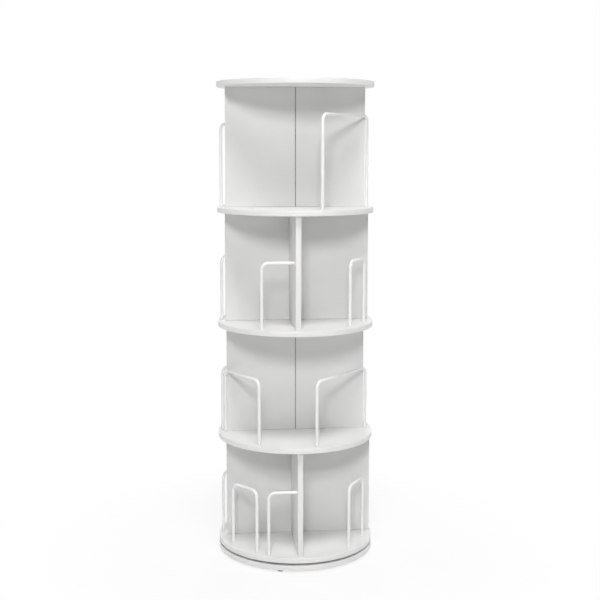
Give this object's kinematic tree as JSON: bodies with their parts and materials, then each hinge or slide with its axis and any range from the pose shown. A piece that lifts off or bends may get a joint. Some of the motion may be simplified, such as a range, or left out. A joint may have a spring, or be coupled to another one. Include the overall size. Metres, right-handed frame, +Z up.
{
  "type": "revolving bookcase",
  "caption": "Tall round revolving bookcase: round shelves in tiers, parted by upright boards, with bent wire guards at the rims, turning on a ball bearing above a round base.",
  "frame": {"origin": "on the floor, on the axis of rotation, in the middle of the base", "axes": "+Z up along the axis of rotation; -Y is the front, which the stems of the upper and the bottom tier point at; +X is to the right seen from the front"},
  "size_m": [0.46, 0.46, 1.3953],
  "materials": {
    "shelf_laminate": "satin white laminate with a matching edge band",
    "divider_laminate": "satin white laminate",
    "rod_paint": "satin white powder coat",
    "glide_plastic": "matte black",
    "zinc_plate": "bright zinc plating",
    "ball_steel": "polished",
    "cage_plastic": "matte dark",
    "sleeve_plastic": "natural white",
    "screw_steel": "zinc plated"
  },
  "bodies": {
    "base": {"base_board": "shelf_laminate", "glide_1": "glide_plastic", "glide_2": "glide_plastic", "glide_3": "glide_plastic", "glide_4": "glide_plastic", "bearing_lower_plate": "zinc_plate", "pivot_sleeve": "sleeve_plastic", "base_plate_screw_1": "screw_steel", "base_plate_screw_2": "screw_steel", "base_plate_screw_3": "screw_steel", "base_plate_screw_4": "screw_steel"},
    "ball_row": {"bearing_cage": "cage_plastic", "bearing_ball_01": "ball_steel", "bearing_ball_02": "ball_steel", "bearing_ball_03": "ball_steel", "bearing_ball_04": "ball_steel", "bearing_ball_05": "ball_steel", "bearing_ball_06": "ball_steel", "bearing_ball_07": "ball_steel", "bearing_ball_08": "ball_steel", "bearing_ball_09": "ball_steel", "bearing_ball_10": "ball_steel", "bearing_ball_11": "ball_steel", "bearing_ball_12": "ball_steel"},
    "case": {"bottom_shelf": "shelf_laminate", "lower_shelf": "shelf_laminate", "middle_shelf": "shelf_laminate", "upper_shelf": "shelf_laminate", "top_board": "shelf_laminate", "bottom_tier_wall_left": "divider_laminate", "bottom_tier_wall_right": "divider_laminate", "bottom_tier_stem": "divider_laminate", "lower_tier_wall_left": "divider_laminate", "lower_tier_wall_right": "divider_laminate", "lower_tier_stem": "divider_laminate", "upper_tier_wall_left": "divider_laminate", "upper_tier_wall_right": "divider_laminate", "upper_tier_stem": "divider_laminate", "top_tier_wall_left": "divider_laminate", "top_tier_wall_right": "divider_laminate", "top_tier_stem": "divider_laminate", "top_tier_front_guard": "rod_paint", "top_tier_rear_guard": "rod_paint", "upper_tier_stem_guard": "rod_paint", "upper_tier_right_guard": "rod_paint", "upper_tier_rear_guard": "rod_paint", "lower_tier_front_right_guard": "rod_paint", "lower_tier_front_left_guard": "rod_paint", "lower_tier_rear_guard": "rod_paint", "bottom_tier_stem_guard": "rod_paint", "bottom_tier_right_guard": "rod_paint", "bottom_tier_left_guard": "rod_paint", "bottom_tier_rear_guard": "rod_paint", "bearing_upper_plate": "zinc_plate", "shelf_plate_screw_1": "screw_steel", "shelf_plate_screw_2": "screw_steel", "shelf_plate_screw_3": "screw_steel", "shelf_plate_screw_4": "screw_steel"}
  },
  "joints": [
    {"name": "case_turn", "type": "hinge", "parent": "base", "child": "case", "pos_m": [0, 0, 0.0283], "axis": [0, 0, 1], "continuous": true},
    {"name": "ball_row_turn", "type": "hinge", "parent": "base", "child": "ball_row", "pos_m": [0, 0, 0.0248], "axis": [0, 0, 1], "continuous": true}
  ],
  "couplings": [
    {"joint": "ball_row_turn", "follows": "case_turn", "ratio": 0.5}
  ]
}
